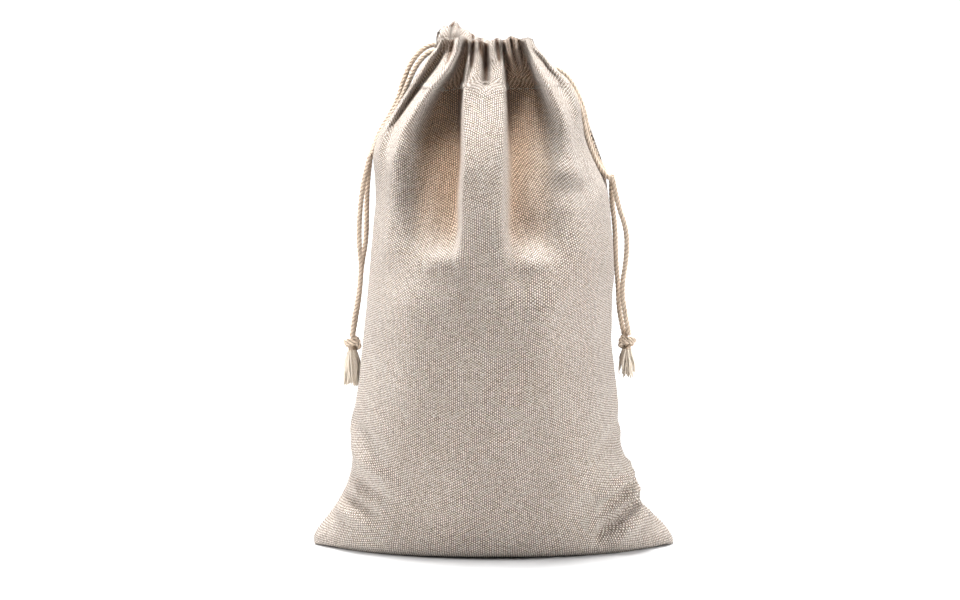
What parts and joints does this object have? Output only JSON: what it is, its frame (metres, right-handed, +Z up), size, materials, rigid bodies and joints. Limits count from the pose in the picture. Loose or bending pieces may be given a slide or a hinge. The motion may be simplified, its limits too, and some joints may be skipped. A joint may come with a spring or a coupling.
{
  "type": "fabric gift sack",
  "caption": "Upright plain-weave fabric gift sack with a gathered mouth, two cord channels and two drawcords whose ends hang at the sides in knots with frayed tassels.",
  "frame": {"origin": "middle of the base, on the surface that the sack stands on", "axes": "+Z up; the front faces -Y; +X towards the right-hand side seam seen from the front"},
  "size_m": [0.1474, 0.0842, 0.208],
  "materials": {
    "cloth": "matte",
    "sewing_thread": "matte",
    "cord": "matte",
    "tassel_yarn": "matte"
  },
  "bodies": {
    "sack": {"front_panel": "cloth", "back_panel": "cloth", "left_seam_allowance": "cloth", "right_seam_allowance": "cloth", "left_seam_thread": "sewing_thread", "right_seam_thread": "sewing_thread"},
    "front_mouth": {"front_flap": "cloth", "front_casing": "cloth", "front_casing_thread": "sewing_thread", "left_cord_front_run": "cord", "right_cord_front_run": "cord", "left_lead_front": "cord", "right_lead_front": "cord"},
    "back_mouth": {"back_flap": "cloth", "back_casing": "cloth", "back_casing_thread": "sewing_thread", "left_cord_back_run": "cord", "right_cord_back_run": "cord", "left_lead_back": "cord", "right_lead_back": "cord"},
    "left_tail": {"left_strand_front": "cord", "left_strand_back": "cord"},
    "right_tail": {"right_strand_front": "cord", "right_strand_back": "cord"},
    "left_end": {"left_knot": "cord", "left_tassel": "tassel_yarn"},
    "right_end": {"right_knot": "cord", "right_tassel": "tassel_yarn"}
  },
  "joints": [
    {"name": "mouth_front", "type": "hinge", "parent": "sack", "child": "front_mouth", "pos_m": [0, -0.0365, 0.1572], "axis": [1, 0, 0], "range_deg": [0, 30]},
    {"name": "mouth_back", "type": "hinge", "parent": "sack", "child": "back_mouth", "pos_m": [0, 0.0365, 0.1572], "axis": [-1, 0, 0], "range_deg": [0, 30]},
    {"name": "left_tail_swing", "type": "hinge", "parent": "sack", "child": "left_tail", "pos_m": [-0.0498, 0, 0.1615], "axis": [0, 1, 0], "range_deg": [0, 85]},
    {"name": "right_tail_swing", "type": "hinge", "parent": "sack", "child": "right_tail", "pos_m": [0.0493, 0, 0.1528], "axis": [0, -1, 0], "range_deg": [0, 85]},
    {"name": "left_knot_draw", "type": "slide", "parent": "left_tail", "child": "left_end", "axis": [0, 0, 1], "range_m": [0, 0.038], "deforming": ["left_strand_front", "left_strand_back"]},
    {"name": "right_knot_draw", "type": "slide", "parent": "right_tail", "child": "right_end", "axis": [0, 0, 1], "range_m": [0, 0.038], "deforming": ["right_strand_front", "right_strand_back"]}
  ],
  "couplings": [
    {"joint": "mouth_back", "follows": "mouth_front", "ratio": 1},
    {"joint": "left_knot_draw", "follows": "mouth_front", "m_per_rad": 0.072},
    {"joint": "right_knot_draw", "follows": "mouth_front", "m_per_rad": 0.072}
  ]
}
